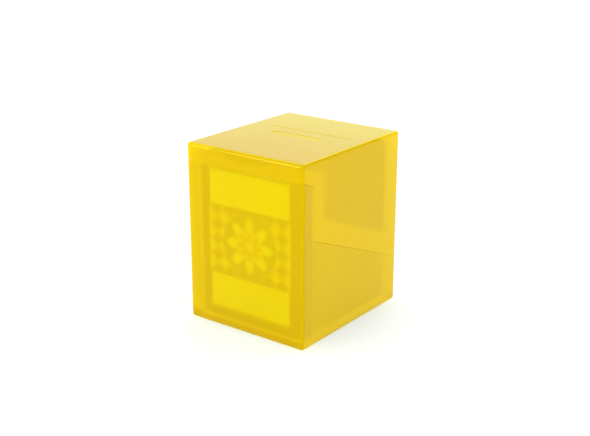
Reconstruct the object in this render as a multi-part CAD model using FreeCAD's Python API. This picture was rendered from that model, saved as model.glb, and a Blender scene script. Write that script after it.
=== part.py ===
import FreeCAD, Part
import math
import os

# Lengths are millimetres and angles are degrees. The case stands on its floor at z = 0, centred on
# x = 0 and y = 0, with its front towards -Y. The case is sized from the deck that it holds.

# Cards
card_width = 63.0
card_height = 88.0
card_thickness = 0.31
card_corner_radius = 3.0
deck_depth = 80.6

# Sleeves: each is a pocket that is welded along its bottom and sides, and open at the top
sleeve_film = 0.12
sleeve_weld = 1.2
sleeve_side_play = 0.3
sleeve_face_play = 0.055
sleeve_mouth = 1.75
card_seat_clearance = 0.05

# How the sleeved cards stand in a row: the gap between two, and how far each strays from the first
card_gap = 0.14
card_side_shift = 0.7
card_rise = 0.6
card_side_turn = 137.5
card_rise_turn = 97.0

# Room left around the deck
deck_side_play = 2.3
deck_front_play = 1.2
deck_rear_play = 0.8
deck_seat_clearance = 0.1
deck_headroom = 4.7

# Walls of the two mouldings
cover_wall = 1.5
cover_top = 1.6
lip_wall = 1.5
lap_clearance = 0.2
tray_floor = 2.6
edge_radius = 1.7
cover_inner_radius = 0.8
well_corner_radius = 1.0
well_floor_radius = 0.8

# Seam between the mouldings: in along the front post, down, then slanting to the back
seam_angle = 21.8
seam_front_drop = 9.4
seam_post_depth = 9.4
seam_back_height = 26.2
seam_post_radius = 1.2
seam_step_radius = 1.8
seam_gap = 0.1
seam_edge_radius = 0.15

# Lip of the tray, which stands behind the cover's wall above the seam
lip_front_angle = 15.0
lip_top_gap = 1.4
lip_reach = 12.0
lip_rise = 12.9
lip_post_radius = 2.5
lip_step_radius = 5.0
lip_edge_radius = 0.5
scoop_width = 34.0
scoop_depth = 4.0

# Shallow marks in the cover's top
pill_length = 32.0
pill_width = 6.4
pill_depth = 0.15
groove_length = 54.0
groove_width = 1.2
groove_depth = 0.15
groove_offset = 11.5

# How far cutting shapes run past what they cut, and what finds the edges along a cut
overrun = 5.0
touch_tolerance = 0.001
edge_test_shares = (0.3, 0.7)

# Sizes that follow from the ones above
sleeve_width = card_width + 2 * (sleeve_side_play + sleeve_weld)
sleeve_height = sleeve_weld + card_seat_clearance + card_height + sleeve_mouth
sleeve_thickness = card_thickness + 2 * (sleeve_face_play + sleeve_film)
card_pitch = sleeve_thickness + card_gap
card_count = int((deck_depth + card_gap) / card_pitch)
lap_wall = cover_wall + lap_clearance + lip_wall
lap_inset = cover_wall + lap_clearance
lip_corner_radius = cover_inner_radius - lap_clearance
well_width = sleeve_width + 2 * deck_side_play
well_depth = deck_depth + deck_front_play + deck_rear_play
case_width = well_width + 2 * lap_wall
case_depth = well_depth + 2 * lap_wall
deck_bottom = tray_floor + deck_seat_clearance
deck_top = deck_bottom + sleeve_height
case_height = deck_top + deck_headroom + cover_top
front_face = -case_depth / 2
back_face = case_depth / 2
deck_front = front_face + lap_wall + deck_front_play
cover_ceiling = case_height - cover_top
seam_slope = math.tan(math.radians(seam_angle))
seam_rise_gap = seam_gap / math.cos(math.radians(seam_angle))
seam_post = front_face + seam_post_depth
lip_post = seam_post + lip_reach
lip_top = cover_ceiling - lip_top_gap
lip_front_slope = math.tan(math.radians(lip_front_angle))


# Block between two corners
def block(low, high):
    size = [top - bottom for bottom, top in zip(low, high)]
    return Part.makeBox(*size, FreeCAD.Vector(*low))


# Block centred on x and y, with its upright edges rounded
def upright_block(width, depth, bottom, top, radius):
    solid = block((-width / 2, -depth / 2, bottom), (width / 2, depth / 2, top))
    upright = [edge for edge in solid.Edges if edge.BoundBox.ZLength > (top - bottom) / 2]
    return solid.makeFillet(radius, upright)


# Solid as wide as the case and beyond, over an outline of (y, z, corner radius) points
def side_prism(outline):
    plane_x = -case_width / 2 - overrun
    points = [FreeCAD.Vector(plane_x, y, z) for y, z, radius in outline]
    starts = []
    ends = []
    edges = []
    for index, (y, z, radius) in enumerate(outline):
        corner = points[index]
        before = (points[index - 1] - corner).normalize()
        after = (points[(index + 1) % len(points)] - corner).normalize()
        half_turn = before.getAngle(after) / 2
        reach = radius / math.tan(half_turn)
        starts.append(corner + before * reach)
        ends.append(corner + after * reach)
        if radius > 0:
            middle = (before + after).normalize()
            centre = corner + middle * (radius / math.sin(half_turn))
            edges.append(Part.Arc(starts[index], centre - middle * radius, ends[index]).toShape())
    for index in range(len(points)):
        edges.append(Part.LineSegment(ends[index], starts[(index + 1) % len(points)]).toShape())
    wire = Part.Wire(Part.__sortEdges__(edges))
    return Part.Face(wire).extrude(FreeCAD.Vector(case_width + 2 * overrun, 0, 0))


# Height of the seam's front run and of its slanting back run, at a place along y
def seam_front_run(y):
    return case_height - seam_front_drop - seam_slope * (y - front_face)


def seam_back_run(y):
    return seam_back_height + seam_slope * (back_face - y)


# Whole outside of the closed case
def case_outside():
    solid = block((-case_width / 2, front_face, 0), (case_width / 2, back_face, case_height))
    return solid.makeFillet(edge_radius, solid.Edges)


# Points of the seam, from the front to the back
def seam_points(gap, rise_gap):
    post = seam_post + gap
    start = front_face - overrun
    end = back_face + overrun
    return [
        (start, seam_front_run(start) + rise_gap, 0),
        (post, seam_front_run(post) + rise_gap, seam_post_radius),
        (post, seam_back_run(post) + rise_gap, seam_step_radius),
        (end, seam_back_run(end) + rise_gap, 0),
    ]


# True where an edge runs along the skin of a solid
def runs_along(edge, solid):
    span = edge.LastParameter - edge.FirstParameter
    places = [edge.valueAt(edge.FirstParameter + span * share) for share in edge_test_shares]
    skin = solid.Shells[0]
    return all(skin.distToShape(Part.Vertex(place))[0] < touch_tolerance for place in places)


# What a side outline keeps of a solid, with the edges that the cut leaves on its outside rounded
def kept_and_rounded(solid, outside, outline, radius):
    prism = side_prism(outline)
    kept = solid.common(prism)
    rim = [edge for edge in kept.Edges if runs_along(edge, prism) and runs_along(edge, outside)]
    return kept.makeFillet(radius, rim)


# Drawer tray: full walls below the seam, and a lip behind the cover's wall above it
def make_drawer_tray():
    start = front_face - overrun
    end = back_face + overrun
    outside = case_outside()
    below_seam = seam_points(0, 0) + [(end, -overrun, 0), (start, -overrun, 0)]
    walls = kept_and_rounded(outside, outside, below_seam, seam_edge_radius)

    lip_front = front_face + lap_inset
    below_lip_top = [
        (start, lip_top + lip_front_slope * (lip_front - start), 0),
        (lip_post, lip_top - lip_front_slope * (lip_post - lip_front), lip_post_radius),
        (lip_post, seam_back_run(lip_post) + lip_rise, lip_step_radius),
        (end, seam_back_run(end) + lip_rise, 0),
        (end, -overrun, 0),
        (start, -overrun, 0),
    ]
    core = upright_block(case_width - 2 * lap_inset, case_depth - 2 * lap_inset,
                         tray_floor, case_height, lip_corner_radius)
    tray = walls.fuse(kept_and_rounded(core, core, below_lip_top, lip_edge_radius))

    well = upright_block(well_width, well_depth, tray_floor, case_height + overrun, well_corner_radius)
    floor_edges = [edge for edge in well.Edges if edge.BoundBox.ZMax < tray_floor + well_floor_radius]
    tray = tray.cut(well.makeFillet(well_floor_radius, floor_edges))

    scoop_radius = ((scoop_width / 2) ** 2 + scoop_depth ** 2) / (2 * scoop_depth)
    scoop_centre = FreeCAD.Vector(0, start, lip_top - scoop_depth + scoop_radius)
    scoop = Part.makeCylinder(scoop_radius, lap_wall + 2 * overrun, scoop_centre, FreeCAD.Vector(0, 1, 0))
    return tray.cut(scoop).removeSplitter()


# Flat slot with round ends, sunk into the cover's top
def top_slot(length, width, depth, y):
    straight = length - width
    bottom = case_height - depth
    slot = block((-straight / 2, y - width / 2, bottom),
                 (straight / 2, y + width / 2, case_height + overrun))
    for x in (-straight / 2, straight / 2):
        slot = slot.fuse(Part.makeCylinder(width / 2, depth + overrun, FreeCAD.Vector(x, y, bottom)))
    return slot


# Cover: the top and the walls above the seam
def make_cover():
    start = front_face - overrun
    end = back_face + overrun
    above = case_height + overrun
    hollow = upright_block(case_width - 2 * cover_wall, case_depth - 2 * cover_wall,
                           -overrun, cover_ceiling, cover_inner_radius)
    ceiling_start = cover_ceiling - cover_inner_radius
    ceiling_edges = [edge for edge in hollow.Edges if edge.BoundBox.ZMin > ceiling_start]
    hollow = hollow.makeFillet(cover_inner_radius, ceiling_edges)
    outside = case_outside()
    above_seam = seam_points(seam_gap, seam_rise_gap) + [(end, above, 0), (start, above, 0)]
    cover = kept_and_rounded(outside.cut(hollow), outside, above_seam, seam_edge_radius)
    cover = cover.cut(top_slot(pill_length, pill_width, pill_depth, 0))
    cover = cover.cut(top_slot(groove_length, groove_width, groove_depth, groove_offset))
    return cover.removeSplitter()


# Clear pocket of the first card, open at the top
def make_front_sleeve():
    sleeve = block((-sleeve_width / 2, deck_front, deck_bottom),
                   (sleeve_width / 2, deck_front + sleeve_thickness, deck_top))
    pocket_side = sleeve_width / 2 - sleeve_weld
    pocket = block((-pocket_side, deck_front + sleeve_film, deck_bottom + sleeve_weld),
                   (pocket_side, deck_front + sleeve_thickness - sleeve_film, deck_top + overrun))
    return sleeve.cut(pocket)


# First card, standing on the weld of its pocket
def make_front_card():
    front = deck_front + sleeve_film + sleeve_face_play
    bottom = deck_bottom + sleeve_weld + card_seat_clearance
    card = block((-card_width / 2, front, bottom),
                 (card_width / 2, front + card_thickness, bottom + card_height))
    corners = [edge for edge in card.Edges if edge.BoundBox.YLength > card_thickness / 2]
    return card.makeFillet(card_corner_radius, corners)


# Other cards of the deck, each a little to one side and a little up, as a hand leaves them
def make_deck_cards():
    cards = []
    for number in range(1, card_count):
        shift = card_side_shift * math.sin(math.radians(number * card_side_turn))
        lift = card_rise * math.sin(math.radians(number * card_rise_turn)) ** 2
        front = deck_front + number * card_pitch
        cards.append(block((shift - sleeve_width / 2, front, deck_bottom + lift),
                           (shift + sleeve_width / 2, front + sleeve_thickness, deck_top + lift)))
    return Part.makeCompound(cards)


os.makedirs("parts", exist_ok=True)
nodes = {
    "drawer_tray": make_drawer_tray(),
    "cover": make_cover(),
    "front_sleeve": make_front_sleeve(),
    "front_card": make_front_card(),
    "deck_cards": make_deck_cards(),
}
for name, shape in nodes.items():
    shape.exportStep(f"parts/{name}.step")
    print(name, len(shape.Solids), "solids", shape.isValid(), round(shape.Volume), shape.BoundBox)
print("case", case_width, case_depth, case_height)
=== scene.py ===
import bpy
import math
from mathutils import Euler, Matrix, Vector


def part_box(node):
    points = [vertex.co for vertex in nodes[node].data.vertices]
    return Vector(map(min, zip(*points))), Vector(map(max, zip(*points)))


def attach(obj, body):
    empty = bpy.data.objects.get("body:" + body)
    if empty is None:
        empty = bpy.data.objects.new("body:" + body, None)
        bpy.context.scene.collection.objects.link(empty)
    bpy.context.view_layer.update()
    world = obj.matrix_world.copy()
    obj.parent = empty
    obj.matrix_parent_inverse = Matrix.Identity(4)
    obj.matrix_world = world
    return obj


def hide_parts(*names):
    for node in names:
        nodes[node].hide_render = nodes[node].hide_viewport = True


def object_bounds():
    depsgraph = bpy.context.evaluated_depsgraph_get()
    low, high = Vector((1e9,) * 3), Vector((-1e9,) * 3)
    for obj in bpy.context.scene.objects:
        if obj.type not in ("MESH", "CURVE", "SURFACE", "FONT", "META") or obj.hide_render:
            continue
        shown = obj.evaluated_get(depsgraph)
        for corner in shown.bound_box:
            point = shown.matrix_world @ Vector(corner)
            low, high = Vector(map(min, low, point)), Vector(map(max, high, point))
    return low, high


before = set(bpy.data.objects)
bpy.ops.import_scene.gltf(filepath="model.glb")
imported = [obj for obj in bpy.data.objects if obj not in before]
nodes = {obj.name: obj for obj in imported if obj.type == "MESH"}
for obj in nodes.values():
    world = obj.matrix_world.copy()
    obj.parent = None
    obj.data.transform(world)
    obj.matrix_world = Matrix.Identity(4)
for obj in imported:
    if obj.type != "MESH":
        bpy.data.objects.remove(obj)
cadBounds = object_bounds()
bpy.ops.object.select_all(action="DESELECT")  # the CAD nodes come in selected
print("loaded", sorted(nodes))

mm = 0.001
white = (1.0, 1.0, 1.0)
noiseSpan = (0.3, 0.7)  # most of a noise lies between these
boxLow, boxHigh = (Vector(corner) for corner in cadBounds)
boxMiddle = (boxLow + boxHigh) / 2
boxHalf = (boxHigh - boxLow) / 2
sleeveLow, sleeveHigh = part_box("front_sleeve")
sleeveMiddle = (sleeveLow + sleeveHigh) / 2
sleeveSize = sleeveHigh - sleeveLow
cardLow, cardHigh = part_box("front_card")
cardMiddle = (cardLow + cardHigh) / 2
cardSize = cardHigh - cardLow


# nodes for materials: a value is a number, a colour or another node's socket
def fill(tree, item, inputs):
    for name, value in inputs.items():
        socket = item.inputs[name]
        if isinstance(value, bpy.types.NodeSocket):
            tree.links.new(value, socket)
        else:
            socket.default_value = value


def addNode(tree, kind, inputs, **settings):
    item = tree.nodes.new(kind)
    for name, value in settings.items():
        setattr(item, name, value)
    fill(tree, item, inputs)
    return item


def calc(tree, operation, first, second=0.0, clamp=False):
    item = addNode(tree, "ShaderNodeMath", {0: first, 1: second}, operation=operation, use_clamp=clamp)
    return item.outputs[0]


def plus(tree, first, second):
    return calc(tree, "ADD", first, second)


def minus(tree, first, second):
    return calc(tree, "SUBTRACT", first, second)


def times(tree, first, second):
    return calc(tree, "MULTIPLY", first, second)


def larger(tree, first, second):
    return calc(tree, "MAXIMUM", first, second)


def unsigned(tree, value):
    return calc(tree, "ABSOLUTE", value)


def vectorCalc(tree, operation, first, second=(0.0, 0.0, 0.0)):
    item = addNode(tree, "ShaderNodeVectorMath", {0: first, 1: second}, operation=operation)
    return item.outputs["Vector"]


def split(tree, vector):
    return addNode(tree, "ShaderNodeSeparateXYZ", {0: vector}).outputs


def mixValue(tree, share, first, second):
    item = addNode(tree, "ShaderNodeMix", {0: share, 2: first, 3: second}, data_type="FLOAT")
    return item.outputs[0]


def rgba(colour):
    return (*colour, 1.0) if isinstance(colour, tuple) else colour


def mixColour(tree, share, first, second):
    item = addNode(tree, "ShaderNodeMix", {0: share, 6: rgba(first), 7: rgba(second)}, data_type="RGBA")
    return item.outputs[2]


def ramp(tree, value, span, toLow=0.0, toHigh=1.0):
    limits = {"From Min": span[0], "From Max": span[1], "To Min": toLow, "To Max": toHigh}
    return addNode(tree, "ShaderNodeMapRange", {"Value": value, **limits}).outputs[0]


# 1 up to the first of the span, 0 from the second on
def near(tree, distance, span):
    return ramp(tree, distance, span, 1.0, 0.0)


def noise(tree, place, scaleAndDetail):
    scale, detail = scaleAndDetail
    item = addNode(tree, "ShaderNodeTexNoise", {"Vector": place, "Scale": scale, "Detail": detail})
    return item.outputs[0]


def spread(tree, noiseValue, lowAndHigh):
    return ramp(tree, noiseValue, noiseSpan, *lowAndHigh)


def bump(tree, height, distance, strength):
    item = addNode(tree, "ShaderNodeBump", {"Height": height, "Distance": distance, "Strength": strength})
    return item.outputs[0]


def lightPath(tree):
    return addNode(tree, "ShaderNodeLightPath", {}).outputs


def objectPlace(tree):
    return addNode(tree, "ShaderNodeTexCoord", {}).outputs["Object"]


def newMaterial(name):
    material = bpy.data.materials.new(name)
    material.use_nodes = True
    tree = material.node_tree
    return material, tree, tree.nodes["Principled BSDF"]


def seeThrough(tree, shader, tint, solid):
    through = addNode(tree, "ShaderNodeBsdfTransparent", {"Color": rgba(tint)})
    both = addNode(tree, "ShaderNodeMixShader", {0: solid, 1: through.outputs[0], 2: shader.outputs[0]})
    tree.links.new(both.outputs[0], tree.nodes["Material Output"].inputs["Surface"])


def dress(piece, material):
    piece.data.materials.clear()
    piece.data.materials.append(material)


# translucent mouldings: the outside skin scatters most, the inside only hazes what is behind
casePlastic = {
    "body": (1.0, 0.658, 0.0005),
    "bodyDeep": (0.96, 0.622, 0.0005),
    # painted shade: the top is coloured darker than the body, and paler towards the back as a painted
    # sheen
    "paintedTopShadeNear": (0.85, 0.57, 0.0005),
    "paintedTopSheenFar": (0.91, 0.73, 0.0005),
    "mark": (0.967, 0.742, 0.0005),
    # painted shade: darker towards the floor, darker still on the front
    "paintedShadeFootFront": (0.63, 0.35, 0.0005),
    "paintedShadeFootSide": (0.835, 0.525, 0.0005),
    "through": (0.97, 1.0, 0.02),
    "reflection": (1.0, 0.9, 0.06),
    # how solid each part of the skin is, from 0, clear, to 1
    "edgeSolid": 0.74,
    "seamSolid": 0.92,
    "rimSolid": 0.79,
    "backSolid": 0.86,
    "topSolid": 0.97,
    "footSolid": 0.84,
    "cloud": (-0.015, 0.015),
    "lightPass": 0.97,
    # roughness on the skin, in the marks and inside
    "polish": 0.08,
    "frost": 0.3,
    "haze": 0.45,
    "grainRoughness": (-0.02, 0.03),
    "ior": 1.45,
    # distances from a face or a seam: full up to the first, none from the second on
    "skinReach": (0.16 * mm, 0.24 * mm),
    "markReach": (0.3 * mm, 0.36 * mm),
    "topReach": (0.034 * mm, 0.51 * mm),
    "turnReach": (0.34 * mm, 1.7 * mm),
    "footReach": (3.0 * mm, 8.0 * mm),
    "postReach": (7.0 * mm, 9.4 * mm),
    "rimReach": (0.4 * mm, 0.8 * mm),
    "lapReach": (1.87 * mm, 2.21 * mm),
    "frontWallReach": (3.4 * mm, 3.74 * mm),
    # depths at which the seam's gap and the sunk marks start and are full
    "seamDepth": (0.04 * mm, 0.08 * mm),
    "sunkDepth": (0.05 * mm, 0.1 * mm),
    "edgeRadius": 1.7 * mm,
    "edgeShares": (0.1, 0.45),  # of the radius squared
    "frontSeam": 90.6 * mm,  # height of the seam across the front
    # noises: scale and detail
    "flow": (30.0, 3.0),
    "flowSpan": (0.35, 0.7),
    "grain": (900.0, 2.0),
    "wave": (70.0, 1.0),
    "waveHeight": 0.015 * mm,
    "waveStrength": 0.5,
}
coverMoulding = {
    "post": casePlastic["body"],
    "postSolid": 0.755,
    "sideSolid": 0.755,
    "frontSolid": 0.69,
    "lapSolid": 0.02,
    "frontLapSolid": 0.02,
    "wallSolid": 0.02,
    "frontWallSolid": 0.02,
}
# the tray's lip is frosted where the cover laps it
trayMoulding = {
    "post": (0.765, 0.50, 0.0005),
    "postSolid": 0.90,
    "sideSolid": 0.735,
    "frontSolid": 0.645,
    "lapSolid": 0.31,
    "frontLapSolid": 0.30,
    "wallSolid": 0.24,
    "frontWallSolid": 0.02,
}


def findPlaces(tree, place):
    look = casePlastic
    radius = look["edgeRadius"]
    parts = split(tree, place)
    height = parts["Z"]
    fromFront = minus(tree, parts["Y"], boxLow.y)
    fromBack = minus(tree, boxHigh.y - boxLow.y, fromFront)
    fromTop = minus(tree, boxHigh.z, height)
    fromSeam = unsigned(tree, minus(tree, height, look["frontSeam"]))
    away = vectorCalc(tree, "ABSOLUTE", vectorCalc(tree, "SUBTRACT", place, boxMiddle))
    # the rounded outside of the box is the skin, down to the floors of the marks in its top
    core = boxHalf - Vector((radius, radius, radius))
    past = vectorCalc(tree, "MAXIMUM", vectorCalc(tree, "SUBTRACT", away, core))
    reach = addNode(tree, "ShaderNodeVectorMath", {0: past}, operation="LENGTH").outputs["Value"]
    depth = minus(tree, radius, reach)
    marks = near(tree, fromTop, look["markReach"])
    skin = larger(tree, marks, near(tree, depth, look["skinReach"]))
    # an edge is past the core in two directions at once
    pastX, pastY, pastZ = split(tree, past)
    level = times(tree, plus(tree, pastX, pastY), pastZ)
    bend = plus(tree, times(tree, pastX, pastY), level)
    bendSpan = [share * radius * radius for share in look["edgeShares"]]
    # the lap is one wall's thickness in, the well's faces lie deeper
    inset = split(tree, vectorCalc(tree, "SUBTRACT", boxHalf, away))
    inset = calc(tree, "MINIMUM", inset["X"], inset["Y"])
    return {
        "skin": skin,
        "seam": times(tree, ramp(tree, depth, look["seamDepth"]), skin),
        "sunk": times(tree, ramp(tree, fromTop, look["sunkDepth"]), marks),
        "top": near(tree, fromTop, look["topReach"]),
        "topDepth": ramp(tree, fromFront, (0.0, boxHigh.y - boxLow.y)),
        "front": near(tree, fromFront, look["turnReach"]),
        "back": near(tree, fromBack, look["turnReach"]),
        "foot": near(tree, minus(tree, height, boxLow.z), look["footReach"]),
        "post": near(tree, fromFront, look["postReach"]),
        "rim": near(tree, fromSeam, look["rimReach"]),
        "edge": ramp(tree, bend, bendSpan),
        "lap": near(tree, inset, look["lapReach"]),
        "frontWall": near(tree, fromFront, look["frontWallReach"]),
    }


def findSolid(tree, at, moulding):
    look = casePlastic
    side = mixValue(tree, at["post"], moulding["sideSolid"], moulding["postSolid"])
    # the front scatters more along its seam, so that the thin gap hardly shows
    front = mixValue(tree, at["rim"], moulding["frontSolid"], look["rimSolid"])
    skin = mixValue(tree, at["front"], side, front)
    for part in ("back", "foot", "edge", "top", "seam"):
        skin = mixValue(tree, at[part], skin, look[part + "Solid"])
    wall = mixValue(tree, at["frontWall"], moulding["wallSolid"], moulding["frontWallSolid"])
    lap = mixValue(tree, at["frontWall"], moulding["lapSolid"], moulding["frontLapSolid"])
    inside = mixValue(tree, at["lap"], wall, lap)
    return mixValue(tree, at["skin"], inside, skin)


def findColour(tree, at, moulding, flow):
    look = casePlastic
    colour = mixColour(tree, ramp(tree, flow, look["flowSpan"]), look["body"], look["bodyDeep"])
    post = mixColour(tree, at["front"], moulding["post"], colour)
    colour = mixColour(tree, at["post"], colour, post)
    # painted shade on the top, paler towards the back as a painted sheen
    top = mixColour(tree, at["topDepth"], look["paintedTopShadeNear"], look["paintedTopSheenFar"])
    colour = mixColour(tree, at["top"], colour, top)
    # painted shade near the floor, darker on the front than on the sides
    foot = mixColour(tree, at["front"], look["paintedShadeFootSide"], look["paintedShadeFootFront"])
    colour = mixColour(tree, at["foot"], colour, foot)
    return mixColour(tree, at["sunk"], colour, look["mark"])


def makeCasePlastic(name, moulding):
    look = casePlastic
    material, tree, body = newMaterial(name)
    place = objectPlace(tree)
    at = findPlaces(tree, place)
    flow = noise(tree, place, look["flow"])
    wave = noise(tree, place, look["wave"])
    grain = noise(tree, place, look["grain"])
    finish = mixValue(tree, at["skin"], look["haze"], look["polish"])
    finish = mixValue(tree, at["sunk"], finish, look["frost"])
    fill(tree, body, {
        "Base Color": findColour(tree, at, moulding, flow),
        "Roughness": plus(tree, finish, spread(tree, grain, look["grainRoughness"])),
        "Normal": bump(tree, wave, look["waveHeight"], look["waveStrength"]),
        "IOR": look["ior"],
        "Specular Tint": rgba(look["reflection"]),
    })
    solid = plus(tree, findSolid(tree, at, moulding), spread(tree, flow, look["cloud"]))
    # light scatters on inwards, so it reaches what the wall half hides
    path = lightPath(tree)
    light = larger(tree, path["Is Shadow Ray"], path["Is Diffuse Ray"])
    solid = times(tree, solid, mixValue(tree, light, 1.0, 1.0 - look["lightPass"]))
    seeThrough(tree, body, look["through"], solid)
    return material


# clear film of the first sleeve
clearFilm = {
    "tint": (0.9, 0.9, 0.92),
    "solid": 0.03,
    "roughness": (0.12, 0.24),
    "ripple": (60.0, 2.0),
}


def makeClearFilm():
    look = clearFilm
    material, tree, shader = newMaterial("clearFilm")
    ripple = noise(tree, objectPlace(tree), look["ripple"])
    roughness = spread(tree, ripple, look["roughness"])
    fill(tree, shader, {"Base Color": rgba(look["tint"]), "Roughness": roughness})
    seeThrough(tree, shader, white, look["solid"])
    return material


# printed card: a two-way design with a rosette between two pale bands
printedCard = {
    "border": (0.012, 0.012, 0.014),
    "field": (0.66, 0.58, 0.36),
    "fieldDark": (0.12, 0.08, 0.06),
    "band": (0.74, 0.75, 0.66),
    "disc": (0.10, 0.15, 0.14),
    "petal": (0.70, 0.73, 0.54),
    "petalDark": (0.46, 0.22, 0.08),
    "paper": (0.88, 0.86, 0.80),
    "borderWidth": 4.0 * mm,
    "bandCentre": 29.2 * mm,
    "bandHalf": (26.6 * mm, 9.6 * mm),
    "bandRim": 0.8 * mm,
    "latticeTurn": 0.36 / mm,
    "latticeSoft": 0.25,
    "petals": 8,
    # from the outside in: radius between the petals, how far a petal goes past it, colour
    "rosette": (
        (18.0 * mm, 0.0, "disc"),
        (6.5 * mm, 9.0 * mm, "petal"),
        (3.0 * mm, 5.5 * mm, "petalDark"),
        (2.6 * mm, 0.0, "petal"),
    ),
    "soft": 0.08 * mm,
    "cutEdge": (0.12 * mm, 0.14 * mm),
    "roughness": (0.32, 0.46),
    "linen": (2500.0, 2.0),
    "linenHeight": 0.01 * mm,
    "linenStrength": 0.4,
}


# 1 inside a printed shape, 0 outside
def within(tree, inside):
    soft = printedCard["soft"]
    return ramp(tree, inside, (-soft, soft))


def withinBox(tree, across, up, halfWidth, halfHeight):
    beside = within(tree, minus(tree, halfWidth, unsigned(tree, across)))
    above = within(tree, minus(tree, halfHeight, unsigned(tree, up)))
    return times(tree, beside, above)


def printLattice(tree, across, up):
    look = printedCard
    slant = times(tree, plus(tree, across, up), look["latticeTurn"])
    otherSlant = times(tree, minus(tree, across, up), look["latticeTurn"])
    weave = times(tree, calc(tree, "SINE", slant), calc(tree, "SINE", otherSlant))
    return ramp(tree, weave, (-look["latticeSoft"], look["latticeSoft"]))


# two pale bands, alike above and below the middle
def printBands(tree, across, up, colour):
    look = printedCard
    halfWidth, halfHeight = look["bandHalf"]
    rim = look["bandRim"]
    fromBand = minus(tree, unsigned(tree, up), look["bandCentre"])
    rimmed = withinBox(tree, across, fromBand, halfWidth + rim, halfHeight + rim)
    colour = mixColour(tree, rimmed, colour, look["border"])
    return mixColour(tree, withinBox(tree, across, fromBand, halfWidth, halfHeight), colour, look["band"])


def printRosette(tree, across, up, colour):
    look = printedCard
    reach = calc(tree, "SQRT", plus(tree, times(tree, across, across), times(tree, up, up)))
    angle = calc(tree, "ARCTAN2", up, across)
    lobe = unsigned(tree, calc(tree, "COSINE", times(tree, angle, look["petals"] / 2)))
    for radius, petal, colourName in look["rosette"]:
        outline = plus(tree, times(tree, lobe, petal), radius)
        colour = mixColour(tree, within(tree, minus(tree, outline, reach)), colour, look[colourName])
    return colour


def makePrintedCard():
    look = printedCard
    material, tree, shader = newMaterial("printedCard")
    place = objectPlace(tree)
    across, through, up = split(tree, vectorCalc(tree, "SUBTRACT", place, cardMiddle))
    lattice = printLattice(tree, across, up)
    colour = mixColour(tree, lattice, look["field"], look["fieldDark"])
    colour = printBands(tree, across, up, colour)
    colour = printRosette(tree, across, up, colour)
    panel = (cardSize.x / 2 - look["borderWidth"], cardSize.z / 2 - look["borderWidth"])
    colour = mixColour(tree, withinBox(tree, across, up, *panel), look["border"], colour)
    # bare paper on the cut edges, and the lattice alone on the back
    bare, printed = look["cutEdge"]
    colour = mixColour(tree, ramp(tree, through, (-printed, -bare)), colour, look["paper"])
    backColour = mixColour(tree, lattice, look["disc"], look["fieldDark"])
    colour = mixColour(tree, ramp(tree, through, (bare, printed)), colour, backColour)
    linen = noise(tree, place, look["linen"])
    fill(tree, shader, {
        "Base Color": colour,
        "Roughness": spread(tree, linen, look["roughness"]),
        "Normal": bump(tree, linen, look["linenHeight"], look["linenStrength"]),
    })
    return material


dress(nodes["cover"], makeCasePlastic("coverPlastic", coverMoulding))
dress(nodes["drawer_tray"], makeCasePlastic("trayPlastic", trayMoulding))
dress(nodes["front_sleeve"], makeClearFilm())
dress(nodes["front_card"], makePrintedCard())
print("materials made")


# the deck behind the first card: dark sleeves with a card in each, modelled once and copied
deck = {
    "count": 99,
    "pitch": 0.8 * mm,
    "sideShift": 0.7 * mm,
    "sideTurn": 137.5,
    "rise": 0.6 * mm,
    "riseTurn": 97.0,
    "film": 0.12 * mm,
    "weld": 1.2 * mm,
    "weldThinShare": 0.4,
    "cardSeat": 0.05 * mm,
    "cardCorner": 3.0 * mm,
    "cornerSteps": 3,
    "squareOn": 0.9,  # a face looks one way past this share
    "touch": 0.01 * mm,
}

# dark film of the sleeves
darkSleeve = {
    "film": (0.06, 0.06, 0.066),
    "filmWorn": (0.10, 0.10, 0.11),
    "wornSpan": (0.4, 0.7),
    "roughness": (0.34, 0.52),
    "cloud": (120.0, 4.0),
    "stipple": (3000.0, 1.0),
    "stippleHeight": 0.01 * mm,
    "stippleStrength": 0.5,
}


def makeDarkSleeve():
    look = darkSleeve
    material, tree, shader = newMaterial("darkSleeve")
    place = objectPlace(tree)
    cloud = noise(tree, place, look["cloud"])
    stipple = noise(tree, place, look["stipple"])
    fill(tree, shader, {
        "Base Color": mixColour(tree, ramp(tree, cloud, look["wornSpan"]), look["film"], look["filmWorn"]),
        "Roughness": spread(tree, cloud, look["roughness"]),
        "Normal": bump(tree, stipple, look["stippleHeight"], look["stippleStrength"]),
    })
    return material


# card stock, pale along its cut edges
cardStock = {
    "edge": (0.80, 0.77, 0.68),
    "edgeDark": (0.62, 0.58, 0.50),
    "toneShare": 0.6,
    "fibreShare": 0.5,
    "roughness": 0.7,
    "fibre": (1500.0, 3.0),
    "fibreHeight": 0.02 * mm,
    "fibreStrength": 0.4,
}


def makeCardStock():
    look = cardStock
    material, tree, shader = newMaterial("cardStock")
    place = objectPlace(tree)
    # each card has its own tone
    number = calc(tree, "FLOOR", calc(tree, "DIVIDE", split(tree, place)["Y"], deck["pitch"]))
    tone = addNode(tree, "ShaderNodeTexWhiteNoise", {"W": number}, noise_dimensions="1D").outputs[0]
    fibre = noise(tree, place, look["fibre"])
    tone = times(tree, tone, look["toneShare"])
    shade = calc(tree, "ADD", tone, times(tree, fibre, look["fibreShare"]), clamp=True)
    fill(tree, shader, {
        "Base Color": mixColour(tree, shade, look["edge"], look["edgeDark"]),
        "Roughness": look["roughness"],
        "Normal": bump(tree, fibre, look["fibreHeight"], look["fibreStrength"]),
    })
    return material


def startBlock(name, size, place):
    bpy.ops.object.select_all(action="DESELECT")
    bpy.ops.mesh.primitive_cube_add(size=1.0, location=place)
    piece = bpy.context.object
    piece.name = name
    piece.scale = size
    bpy.ops.object.transform_apply(location=True, rotation=True, scale=True)
    return piece


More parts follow.
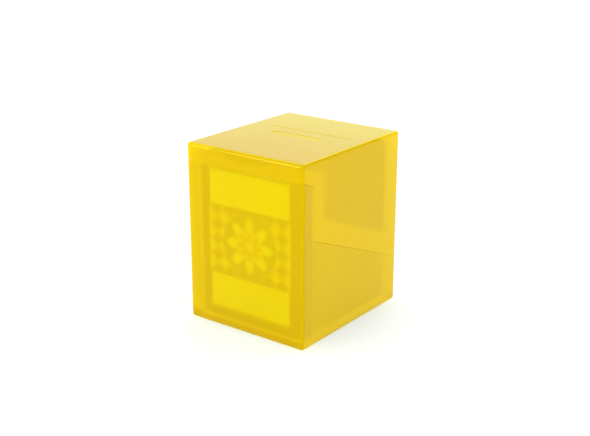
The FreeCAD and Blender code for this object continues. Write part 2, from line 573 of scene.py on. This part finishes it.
# leaves the piece in edit mode with only the faces or edges that pass the test selected
def selectParts(piece, kind, test):
    bpy.ops.object.mode_set(mode="EDIT")
    bpy.ops.mesh.select_mode(type=kind)
    bpy.ops.mesh.select_all(action="DESELECT")
    bpy.ops.object.mode_set(mode="OBJECT")
    parts = piece.data.polygons if kind == "FACE" else piece.data.edges
    for part in parts:
        part.select = test(part)
    bpy.ops.object.mode_set(mode="EDIT")


def selectOutermost(piece, facing):
    limit = max(face.center.dot(facing) for face in piece.data.polygons) - deck["touch"]

    def isOutermost(face):
        return face.normal.dot(facing) > deck["squareOn"] and face.center.dot(facing) > limit

    selectParts(piece, "FACE", isOutermost)


def modelSleeve():
    weld = deck["weld"]
    pocketHeight = sleeveSize.z - weld
    pocketSize = (sleeveSize.x - 2 * weld, sleeveSize.y, pocketHeight)
    pocketPlace = (sleeveMiddle.x, sleeveMiddle.y, sleeveLow.z + weld + pocketHeight / 2)
    piece = startBlock("deckSleeves", pocketSize, pocketPlace)
    # flat welds down the sides and along the bottom
    for facing in (Vector((1, 0, 0)), Vector((-1, 0, 0)), Vector((0, 0, -1))):
        selectOutermost(piece, facing)
        bpy.ops.mesh.extrude_region_move(TRANSFORM_OT_translate={"value": facing * weld})
        bpy.ops.transform.resize(value=(1, deck["weldThinShare"], 1), center_override=sleeveMiddle)
        bpy.ops.object.mode_set(mode="OBJECT")
    # open mouth, between the welds
    selectParts(piece, "FACE", lambda face: face.normal.z > deck["squareOn"] and abs(face.center.x) < weld)
    bpy.ops.mesh.inset(thickness=deck["film"])
    mouthDepth = pocketHeight - deck["film"]
    bpy.ops.mesh.extrude_region_move(TRANSFORM_OT_translate={"value": (0, 0, -mouthDepth)})
    bpy.ops.object.mode_set(mode="OBJECT")
    return piece


def modelCard():
    seat = sleeveLow.z + deck["weld"] + deck["cardSeat"] + deck["film"]
    piece = startBlock("deckCards", cardSize, (sleeveMiddle.x, sleeveMiddle.y, seat + cardSize.z / 2))
    points = piece.data.vertices

    def isCorner(edge):
        start, end = (points[index].co.y for index in edge.vertices)
        return abs(end - start) > cardSize.y / 2

    selectParts(piece, "EDGE", isCorner)
    bpy.ops.mesh.bevel(offset=deck["cardCorner"], segments=deck["cornerSteps"])
    bpy.ops.object.mode_set(mode="OBJECT")
    return piece


def copyAlongDeck(first):
    copies = []
    for number in range(1, deck["count"] + 1):
        shift = deck["sideShift"] * math.sin(math.radians(number * deck["sideTurn"]))
        lift = deck["rise"] * math.sin(math.radians(number * deck["riseTurn"])) ** 2
        bpy.ops.object.select_all(action="DESELECT")
        first.select_set(True)
        bpy.context.view_layer.objects.active = first
        bpy.ops.object.duplicate()
        copies.append(bpy.context.object)
        copies[-1].location = (shift, number * deck["pitch"], lift)
    bpy.ops.object.select_all(action="DESELECT")
    for copy in copies:
        copy.select_set(True)
    bpy.context.view_layer.objects.active = copies[0]
    bpy.ops.object.transform_apply(location=True, rotation=True, scale=True)
    bpy.ops.object.join()
    row = bpy.context.object
    name = first.name
    bpy.data.objects.remove(first)
    row.name = name
    return row


deckSleeves = copyAlongDeck(modelSleeve())
deckCards = copyAlongDeck(modelCard())
dress(deckSleeves, makeDarkSleeve())
dress(deckCards, makeCardStock())
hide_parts("deck_cards")
for piece, slotName in ((deckSleeves, "dark_sleeve"), (deckCards, "printed_card")):
    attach(piece, "deck")
print("deck made", len(deckSleeves.data.polygons), len(deckCards.data.polygons))


# floor and sky
stage = {
    "floorSize": 30.0,
    "floorColour": (0.86, 0.86, 0.86),
    "floorRoughness": 0.9,
    "floorWhite": 0.36,
    "horizon": 1.18,
    "zenith": 0.62,
    "dimCorner": 0.1,
    "dimRight": (0.05, 0.15),
    "dimBack": (0.5, 0.6),
}


def makeFloor():
    bpy.ops.object.select_all(action="DESELECT")
    bpy.ops.mesh.primitive_plane_add(size=stage["floorSize"], location=(0, 0, 0))
    floor = bpy.context.object
    floor.name = "floor"
    material, tree, shader = newMaterial("paleFloor")
    path = lightPath(tree)
    mirrored = larger(tree, path["Is Glossy Ray"], path["Is Transmission Ray"])
    seen = larger(tree, path["Is Camera Ray"], mirrored)
    fill(tree, shader, {
        "Base Color": rgba(stage["floorColour"]),
        "Roughness": stage["floorRoughness"],
        "Specular IOR Level": 0.0,
        "Emission Color": rgba(white),
        "Emission Strength": times(tree, seen, stage["floorWhite"]),
    })
    dress(floor, material)


def makeSky():
    world = bpy.data.worlds.new("studioSky")
    bpy.context.scene.world = world
    world.use_nodes = True
    tree = world.node_tree
    path = lightPath(tree)
    right, back, up = split(tree, addNode(tree, "ShaderNodeTexCoord", {}).outputs["Generated"])
    strength = ramp(tree, up, (0.0, 1.0), stage["horizon"], stage["zenith"])
    # the corner behind on the right is dim where it mirrors in the polish
    corner = times(tree, ramp(tree, right, stage["dimRight"]), ramp(tree, back, stage["dimBack"]))
    corner = times(tree, corner, path["Is Glossy Ray"])
    strength = mixValue(tree, corner, strength, stage["dimCorner"])
    strength = mixValue(tree, path["Is Camera Ray"], strength, 1.0)
    fill(tree, tree.nodes["Background"], {"Color": rgba(white), "Strength": strength})


# soft lamps, of which one only shines in the polish
lamps = {
    "softbox": {"place": (-0.86, -0.95, 0.90), "size": (1.7, 1.7), "power": 3.0, "shineOnly": False},
    "sideFill": {"place": (1.10, -0.25, 0.40), "size": (0.8, 0.8), "power": 2.4, "shineOnly": False},
    "lowStrip": {"place": (-0.78, -1.02, 0.13), "size": (0.45, 0.22), "power": 3.5, "shineOnly": False},
    "edgeStrip": {"place": (-0.67, -1.11, 0.14), "size": (0.24, 0.26), "power": 3.0, "shineOnly": True},
    "rimStrip": {"place": (-0.34, 0.97, 0.89), "size": (0.7, 0.25), "power": 2.2, "shineOnly": False},
}


def makeLamp(name):
    setting = lamps[name]
    light = bpy.data.lights.new(name, "AREA")
    light.shape = "RECTANGLE"
    light.size, light.size_y = setting["size"]
    light.energy = setting["power"]
    lamp = bpy.data.objects.new(name, light)
    lamp.visible_diffuse = not setting["shineOnly"]
    bpy.context.scene.collection.objects.link(lamp)
    aim = boxMiddle - Vector(setting["place"])
    turn = aim.to_track_quat("-Z", "Y").to_matrix().to_4x4()
    lamp.matrix_world = Matrix.Translation(setting["place"]) @ turn


# camera at the photograph's viewing angle
view = {
    "lens": 63.46,
    "sensor": 36.0,
    "azimuth": 36.93,
    "elevation": 18.69,
    "roll": 0.0785,
    "place": (0.32778, -0.43611, 0.23783),
}


def makeCamera():
    data = bpy.data.cameras.new("photoView")
    data.lens = view["lens"]
    data.sensor_width = view["sensor"]
    camera = bpy.data.objects.new("photoView", data)
    bpy.context.scene.collection.objects.link(camera)
    turn = Euler((math.radians(90 - view["elevation"]), 0, math.radians(view["azimuth"]))).to_matrix()
    turn = turn @ Matrix.Rotation(math.radians(view["roll"]), 3, "Z")
    camera.matrix_world = Matrix.Translation(view["place"]) @ turn.to_4x4()
    bpy.context.scene.camera = camera


makeFloor()
makeSky()
for name in lamps:
    makeLamp(name)
makeCamera()
bpy.context.scene.view_settings.view_transform = "Standard"
print("stage made")
